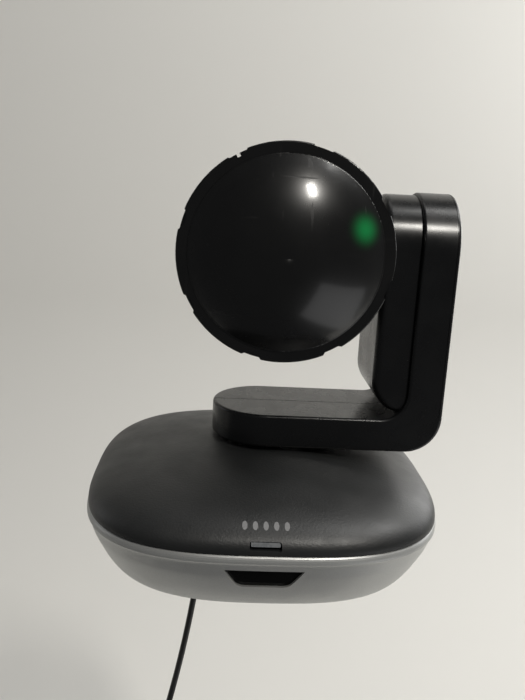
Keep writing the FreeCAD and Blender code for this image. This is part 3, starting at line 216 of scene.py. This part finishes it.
def cap_gloss():
    """Glossy black with fine scratches; a green glow is painted onto it as emission, in place of the green
    light behind it.
    """
    m = Nodes("cap_gloss_black")
    smear = m.noise(30.0, 5.0, 0.6)
    m.link(m.ramp(smear, "Fac", [(0.3, 0.0020), (0.7, 0.0045)]), "Color", m.shader, "Base Color")
    streaks = m.noise(420.0, 2.0, 0.5, stretch=(1.0, 0.4, 0.06))
    cross_streaks = m.noise(380.0, 2.0, 0.5, stretch=(0.05, 0.4, 1.0))
    lines = m.math("MAXIMUM", (m.ramp(streaks, "Fac", [(0.66, 0.0), (0.69, 1.0)]), "Color"),
                   (m.ramp(cross_streaks, "Fac", [(0.67, 0.0), (0.70, 1.0)]), "Color"))
    worn = m.ramp(m.noise(24.0, 1.0), "Fac", [(0.5, 0.0), (0.62, 1.0)])
    mask = m.math("MULTIPLY", (lines, "Value"), (worn, "Color"))
    haze = m.ramp(smear, "Fac", [(0.3, 0.24), (0.75, 0.34)])
    rough = m.math("ADD", (haze, "Color"), (m.math("MULTIPLY", (mask, "Value"), SCRATCH_ROUGHNESS), "Value"))
    m.link(rough, "Value", m.shader, "Roughness")
    m.set(IOR=1.42, Coat_Weight=0.55, Coat_Roughness=0.13)
    wavy = m.bump(m.noise(26.0, 2.0), "Fac", 0.05, 0.0010)
    m.normal(m.bump(mask, "Value", 0.25, 0.00004, wavy))
    # The painted green glow: emission that fades with distance from GLOW_PLACE.
    offset = m.add("ShaderNodeVectorMath", operation="DISTANCE")
    m.link(m.place, "Object", offset, 0)
    offset.inputs[1].default_value = GLOW_PLACE
    near = m.add("ShaderNodeMapRange", interpolation_type="SMOOTHERSTEP")
    near.inputs["From Min"].default_value = 0.0
    near.inputs["From Max"].default_value = GLOW_REACH
    near.inputs["To Min"].default_value = 1.0
    near.inputs["To Max"].default_value = 0.0
    m.link(offset, "Value", near, "Value")
    core = m.math("POWER", (near, "Result"), GLOW_FALL)
    painted_glow = m.mix((core, "Value"), (0.0, 0.0, 0.0), GLOW_COLOUR)
    m.link(painted_glow, "Result", m.shader, "Emission Color")
    m.set(Emission_Strength=GLOW_STRENGTH)
    return m.material


def polished_black():
    m = Nodes("gloss_black")
    smear = m.noise(45.0, 4.0)
    m.link(m.ramp(smear, "Fac", [(0.3, 0.0010), (0.7, 0.0022)]), "Color", m.shader, "Base Color")
    m.link(m.ramp(smear, "Fac", [(0.3, 0.10), (0.7, 0.17)]), "Color", m.shader, "Roughness")
    m.set(IOR=1.22)
    m.normal(m.bump(m.noise(30.0, 1.0), "Fac", 0.02, 0.0008))
    return m.material


def metal(name, low, high, roughness, stretch=None, scale=900.0):
    """Metal with a fine directional or even grain and a faint stain."""
    m = Nodes(name)
    grain = m.noise(scale, 3.0, 0.6, stretch)
    m.link(m.ramp(grain, "Fac", [(0.3, low), (0.7, high)]), "Color", m.shader, "Base Color")
    shine = m.ramp(m.noise(120.0, 4.0), "Fac", [(0.3, roughness - 0.06), (0.7, roughness + 0.08)])
    m.link(shine, "Color", m.shader, "Roughness")
    m.set(Metallic=1.0)
    m.normal(m.bump(grain, "Fac", 0.2, 0.00004))
    return m.material


def rubber(name, base, roughness):
    m = Nodes(name)
    grain = m.noise(2600.0, 2.0)
    dust = m.noise(55.0, 5.0, 0.65)
    m.link(m.ramp(dust, "Fac", [(0.35, tuple(c * 0.8 for c in base)), (0.75, tuple(c * 1.5 for c in base))]),
           "Color", m.shader, "Base Color")
    m.link(m.ramp(dust, "Fac", [(0.3, roughness), (0.8, roughness + 0.12)]), "Color", m.shader, "Roughness")
    m.set(IOR=1.48)
    m.normal(m.bump(grain, "Fac", 0.3, 0.00005))
    return m.material


def circuit_board():
    """Green solder mask over a faint pattern of tracks."""
    m = Nodes("circuit_board")
    tracks = m.add("ShaderNodeTexVoronoi", feature="DISTANCE_TO_EDGE")
    tracks.inputs["Scale"].default_value = 260.0
    m.link(m.place, "Object", tracks, "Vector")
    tone = m.ramp(tracks, "Distance", [(0.03, (0.035, 0.20, 0.075)), (0.08, (0.012, 0.10, 0.035))])
    m.link(tone, "Color", m.shader, "Base Color")
    m.link(m.ramp(m.noise(200.0), "Fac", [(0.3, 0.25), (0.7, 0.38)]), "Color", m.shader, "Roughness")
    m.normal(m.bump(tracks, "Distance", 0.2, 0.00005))
    return m.material


def lens_glass():
    """Coated optical glass: dark, clear, with a faint coloured sheen at its rim, painted into its colour by
    viewing angle.
    """
    m = Nodes("glass")
    facing = m.add("ShaderNodeLayerWeight")
    facing.inputs["Blend"].default_value = 0.35
    # Painted sheen: the colour turns purple towards grazing angles.
    painted_rim_sheen = m.ramp(facing, "Facing", [(0.2, (0.55, 0.62, 0.75)), (0.8, (0.35, 0.25, 0.55))])
    m.link(painted_rim_sheen, "Color", m.shader, "Base Color")
    m.link(m.ramp(m.noise(60.0), "Fac", [(0.3, 0.02), (0.7, 0.05)]), "Color", m.shader, "Roughness")
    m.set(IOR=1.55, Transmission_Weight=0.9, Coat_Weight=0.6, Coat_Roughness=0.02)
    return m.material


def light_material(name, base, painted_glow, strength):
    """A translucent moulding that glows: the led with its own light, the light guide with a faint painted
    glow and no lamp behind it.
    """
    m = Nodes(name)
    cloud = m.noise(700.0, 2.0)
    tone = m.ramp(cloud, "Fac", [(0.3, tuple(c * 0.85 for c in base)), (0.7, base)])
    m.link(tone, "Color", m.shader, "Base Color")
    m.link(m.ramp(cloud, "Fac", [(0.3, 0.22), (0.7, 0.34)]), "Color", m.shader, "Roughness")
    m.set(IOR=1.49, Transmission_Weight=0.15, Emission_Color=(*painted_glow, 1.0), Emission_Strength=strength)
    m.normal(m.bump(cloud, "Fac", 0.1, 0.00003))
    return m.material


def woven_tie():
    m = Nodes("tie_black")
    wave = m.add("ShaderNodeTexWave")
    wave.inputs["Scale"].default_value = 900.0
    wave.inputs["Distortion"].default_value = 1.5
    m.link(m.place, "Object", wave, "Vector")
    m.link(m.ramp(wave, "Fac", [(0.2, 0.012), (0.8, 0.035)]), "Color", m.shader, "Base Color")
    m.set(Roughness=0.85, Sheen_Weight=0.3)
    m.normal(m.bump(wave, "Fac", 0.6, 0.0002))
    return m.material


def all_materials():
    acetal = (0.80, 0.79, 0.74)
    return {
        "silver_paint": silver_paint(),
        "charcoal_matte": grained_plastic("charcoal_matte", (0.0125, 0.0133, 0.0136), 0.10, 0.44,
                                          1300.0, 0.00012, coat=0.0, ior=1.55),
        "satin_black": grained_plastic("satin_black", (0.0050, 0.0052, 0.0056), 0.12, 0.27,
                                       3000.0, 0.00002, coat=0.10, ior=1.42),
        "gloss_black": polished_black(),
        "cap_gloss_black": cap_gloss(),
        # The light guide's faint pale glow is painted emission; no lamp lies behind it.
        "light_guide": light_material("light_guide", (0.20, 0.21, 0.22), (0.5, 0.55, 0.6), 0.02),
        "led": light_material("led", (0.75, 0.85, 0.75), (0.1, 1.0, 0.3), 2.0),
        "foot_rubber": rubber("foot_rubber", (0.018, 0.018, 0.018), 0.75),
        "brass": metal("brass", (0.55, 0.40, 0.17), (0.70, 0.53, 0.26), 0.30),
        "circuit_board": circuit_board(),
        "chip_black": grained_plastic("chip_black", (0.014, 0.014, 0.015), 0.15, 0.55, 3800.0, 0.00003),
        "socket_black": grained_plastic("socket_black", (0.012, 0.012, 0.012), 0.12, 0.42, 3200.0, 0.00003),
        "cast_metal": metal("cast_metal", (0.50, 0.51, 0.52), (0.62, 0.63, 0.64), 0.48, None, 500.0),
        "sheet_steel": metal("sheet_steel", (0.42, 0.43, 0.44), (0.58, 0.59, 0.60), 0.34, (1.0, 1.0, 0.03)),
        "shaft_steel": metal("shaft_steel", (0.48, 0.48, 0.49), (0.62, 0.62, 0.63), 0.22, (0.04, 1.0, 1.0)),
        "steel": metal("steel", (0.30, 0.30, 0.31), (0.42, 0.42, 0.43), 0.32),
        "bush_bronze": metal("bush_bronze", (0.36, 0.22, 0.10), (0.48, 0.31, 0.15), 0.42),
        "motor_steel": metal("motor_steel", (0.50, 0.50, 0.51), (0.64, 0.64, 0.65), 0.30),
        "gear_plastic": grained_plastic("gear_plastic", acetal, 0.04, 0.36, 1800.0, 0.00002),
        "lens_black": grained_plastic("lens_black", (0.010, 0.010, 0.010), 0.1, 0.60, 2600.0, 0.00004),
        "glass": lens_glass(),
        "lead_black": rubber("lead_black", (0.012, 0.012, 0.012), 0.40),
        "tie_black": woven_tie(),
        "mark_print": grained_plastic("mark_print", (0.20, 0.20, 0.205), 0.06, 0.55, 2600.0, 0.00002),
    }


def dress_nodes(materials):
    """Give every CAD node the material of its slot in the record."""
    slots = {part["node"]: part["material_slot"] for part in frame["record"]["subparts"]}
    for name, item in frame["nodes"].items():
        item.data.materials.clear()
        item.data.materials.append(materials[slots[name]])


# ---------------------------------------------------------------- printed mark

MARK_MIDDLE = Vector((-1.0, 0.0, 30.8)) * MM
MARK_DOTS = 5
MARK_PITCH = 3.4 * MM
MARK_RADIUS = 0.85 * MM
MARK_LIFT = 0.03 * MM
MARK_START = -0.2       # the rays towards the cover start this far in front
MARK_SIDES = 20
MARK_RINGS = 3


def make_mark(materials):
    """A plain row of printed dots on the cover's front, laid onto its surface."""
    cover = frame["nodes"]["base_cover"]
    surface = BVHTree.FromPolygons([vertex.co for vertex in cover.data.vertices],
                                   [face.vertices for face in cover.data.polygons])
    form = bmesh.new()
    for dot in range(MARK_DOTS):
        middle = MARK_MIDDLE + Vector(((dot - (MARK_DOTS - 1) / 2) * MARK_PITCH, 0.0, 0.0))
        rows = []
        for ring in range(MARK_RINGS + 1):
            reach = MARK_RADIUS * ring / MARK_RINGS
            row = []
            for side in range(MARK_SIDES if ring else 1):
                angle = 2 * math.pi * side / MARK_SIDES
                x = middle.x + reach * math.cos(angle)
                z = middle.z + reach * math.sin(angle)
                place, normal, _, _ = surface.ray_cast(Vector((x, MARK_START, z)), Vector((0, 1, 0)))
                row.append(form.verts.new(place + normal.normalized() * MARK_LIFT))
            rows.append(row)
        for side in range(MARK_SIDES):
            after = (side + 1) % MARK_SIDES
            form.faces.new((rows[0][0], rows[1][side], rows[1][after]))
            for inner, outer in zip(rows[1:], rows[2:]):
                form.faces.new((inner[side], outer[side], outer[after], inner[after]))
    mesh = bpy.data.meshes.new("printed_mark")
    form.to_mesh(mesh)
    form.free()
    mark = bpy.data.objects.new("printed_mark", mesh)
    scene.collection.objects.link(mark)
    mesh.materials.append(materials["mark_print"])
    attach(mark, "base")


# ---------------------------------------------------------------- lead

LEAD_DIAMETER = 3.5 * MM
LEAD_BEVEL_STEPS = 5
LEAD_LINE_STEPS = 4
# The route of part.py, from the strain relief's end down to the coil, and from the coil to the far plug.
LEAD_ROUTE = [
    (-11.0, 85.4, 14.0), (-11.0, 95.4, 14.0), (-12.1, 105.4, 8.4), (-13.3, 111.0, -1.4),
    (-15.0, 112.4, -12.8), (-18.8, 112.0, -36.5), (-23.2, 111.0, -68.5), (-27.2, 110.2, -101.5),
    (-32.4, 110.0, -134.0), (-38.6, 109.4, -164.5), (-42.0, 107.2, -177.0),
]
TAIL_ROUTE = [(-50.6, 116.0, -217.0), (-50.6, 116.0, -231.0)]
COIL_MIDDLE = Vector((-29.5, 110.0, -202.5)) * MM
COIL_MEAN_RADIUS = 20.5 * MM
COIL_BUNDLE_REACH = 8.5 * MM
COIL_START = math.radians(135)
COIL_END = math.radians(180)
TURN_PITCH = 3.56 * MM
POINTS_A_TURN = 16
BUNDLE_COLUMNS = 6
COLUMN_SPACING = math.sqrt(0.75)    # of packed round turns, as a share of the pitch
WANDER = 0.22 * MM


def bundle_places():
    """Where each turn lies in the bundle's section: packed columns, walked up one and down the next,
    so that the first and the last turn both lie on the outside."""
    columns = []
    for j in range(BUNDLE_COLUMNS):
        across = (j - (BUNDLE_COLUMNS - 1) / 2) * TURN_PITCH * COLUMN_SPACING
        shift = 0.5 * (j % 2)
        column = [((i + shift) * TURN_PITCH, across) for i in range(-4, 4)]
        column = [place for place in column if math.hypot(*place) <= COIL_BUNDLE_REACH]
        columns.append(sorted(column, reverse=(j % 2 == 0)))
    return [place for column in columns for place in column]


def coil_points():
    """The coil's turns, each easing from one place in the bundle to the next."""
    places = bundle_places()
    turns = len(places) - 1 + (COIL_END - COIL_START) / (2 * math.pi)
    steps = int(turns * POINTS_A_TURN)
    points = []
    for step in range(steps + 1):
        turn = turns * step / steps
        index = min(int(turn), len(places) - 1)
        after = places[min(index + 1, len(places) - 1)]
        share = turn - index
        ease = share * share * (3 - 2 * share)
        outward = places[index][0] + (after[0] - places[index][0]) * ease
        across = places[index][1] + (after[1] - places[index][1]) * ease
        wander = WANDER * math.sin(5.3 * turn) * math.sin(2.1 * turn + 1.0)
        angle = COIL_START + turn * 2 * math.pi
        radius = COIL_MEAN_RADIUS + outward + wander
        points.append(COIL_MIDDLE + Vector((radius * math.cos(angle), across, radius * math.sin(angle))))
    return points


def make_lead(materials):
    route = [Vector(point) * MM for point in LEAD_ROUTE]
    tail = [Vector(point) * MM for point in TAIL_ROUTE]
    points = route + coil_points() + tail
    curve = bpy.data.curves.new("lead_line", "CURVE")
    curve.dimensions = "3D"
    curve.bevel_depth = LEAD_DIAMETER / 2
    curve.bevel_resolution = LEAD_BEVEL_STEPS
    curve.resolution_u = LEAD_LINE_STEPS
    curve.use_fill_caps = True
    spline = curve.splines.new("NURBS")
    spline.points.add(len(points) - 1)
    for item, point in zip(spline.points, points):
        item.co = (*point, 1.0)
    spline.order_u = 3
    spline.use_endpoint_u = True
    lead = bpy.data.objects.new("lead_line", curve)
    scene.collection.objects.link(lead)
    curve.materials.append(materials["lead_black"])
    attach(lead, "base")
    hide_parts("lead", "lead_coil", "lead_tail")


# ---------------------------------------------------------------- stage and light

FLOOR_HEIGHT = -0.42
FLOOR_NEAR = -0.12
WALL_PLACE = 0.95
WALL_BEND = 0.35
WALL_HALF_WIDTH = 3.0
WALL_TOP = 2.6
BEND_STEPS = 16
WALL_COLOUR = (0.74, 0.73, 0.70)
WALL_SHADE = 0.985
WALL_ROUGHNESS = 0.9


def stage_material():
    """Plain pale paint, very slightly cloudy."""
    m = Nodes("pale_wall")
    shade = tuple(channel * WALL_SHADE for channel in WALL_COLOUR)
    cloud = m.ramp(m.noise(1.6, 3.0), "Fac", [(0.3, shade), (0.7, WALL_COLOUR)])
    m.link(cloud, "Color", m.shader, "Base Color")
    m.set(Roughness=WALL_ROUGHNESS)
    return m.material


def make_stage():
    """A pale floor that sweeps up into a pale wall behind the object."""
    bend_start = WALL_PLACE - WALL_BEND
    bend_top = FLOOR_HEIGHT + WALL_BEND
    profile = [(FLOOR_NEAR, FLOOR_HEIGHT), (bend_start, FLOOR_HEIGHT)]
    for step in range(1, BEND_STEPS):
        angle = math.pi / 2 * step / BEND_STEPS
        profile.append((bend_start + WALL_BEND * math.sin(angle), bend_top - WALL_BEND * math.cos(angle)))
    profile += [(WALL_PLACE, bend_top), (WALL_PLACE, WALL_TOP)]
    mesh = bpy.data.meshes.new("backdrop")
    corners = [(x, y, z) for y, z in profile for x in (-WALL_HALF_WIDTH, WALL_HALF_WIDTH)]
    faces = [(2 * i, 2 * i + 1, 2 * i + 3, 2 * i + 2) for i in range(len(profile) - 1)]
    mesh.from_pydata(corners, [], faces)
    mesh.shade_smooth()
    backdrop = bpy.data.objects.new("backdrop", mesh)
    scene.collection.objects.link(backdrop)
    mesh.materials.append(stage_material())


def area_light(name, place, target, size, power, colour):
    data = bpy.data.lights.new(name, "AREA")
    data.shape = "RECTANGLE"
    data.size, data.size_y = size
    data.energy = power
    data.color = colour
    light = bpy.data.objects.new(name, data)
    way = (Vector(target) - Vector(place)).normalized()
    light.matrix_world = Matrix.Translation(place) @ way.to_track_quat("-Z", "Y").to_matrix().to_4x4()
    scene.collection.objects.link(light)


ROOM_LIGHT = 0.10
ROOM_SEEN = 0.55
ROOM_COLOUR = (0.86, 0.87, 0.88, 1.0)


def make_room():
    """A dim room for light and reflections, which looks pale where it is seen past the backdrop."""
    world = bpy.data.worlds.new("room")
    world.use_nodes = True
    tree = world.node_tree
    background = tree.nodes["Background"]
    background.inputs["Color"].default_value = ROOM_COLOUR
    rays = tree.nodes.new("ShaderNodeLightPath")
    level = tree.nodes.new("ShaderNodeMapRange")
    level.inputs["To Min"].default_value = ROOM_LIGHT
    level.inputs["To Max"].default_value = ROOM_SEEN
    tree.links.new(rays.outputs["Is Camera Ray"], level.inputs["Value"])
    tree.links.new(level.outputs["Result"], background.inputs["Strength"])
    scene.world = world


MIDDLE = (0.0, 0.0, 0.08)
# Each light: name, place, target, size, power, colour.
LIGHTS = [
    ("key", (0.46, -0.96, 1.14), MIDDLE, (0.11, 0.22), 11.0, (1.0, 0.965, 0.90)),
    ("ceiling", (0.1, 0.10, 1.2), MIDDLE, (0.9, 0.4), 1.3, (1.0, 0.99, 0.97)),
    ("right_window", (1.2, 0.35, 0.35), MIDDLE, (0.5, 0.9), 1.3, (0.98, 0.99, 1.0)),
    ("left_fill", (-1.2, 0.40, 0.30), MIDDLE, (0.6, 0.9), 0.9, (1.0, 1.0, 1.0)),
    ("low_bounce", (0.52, -0.42, -0.40), (0.01, -0.045, 0.10), (0.60, 0.44), 0.75, (1.0, 1.0, 1.0)),
    ("wall_wash", (1.0, 0.1, 1.4), (0.45, 0.95, -0.1), (1.2, 0.6), 15.5, (1.0, 0.992, 0.965)),
    ("back_right", (0.85, 0.70, 0.40), MIDDLE, (0.5, 0.6), 3.0, (1.0, 1.0, 1.0)),
]


def make_lights():
    for light in LIGHTS:
        area_light(*light)
    make_room()
    scene.view_settings.view_transform = "Standard"


make_camera()
MATERIALS = all_materials()
make_lead(MATERIALS)
make_mark(MATERIALS)
dress_nodes(MATERIALS)
make_stage()
make_lights()
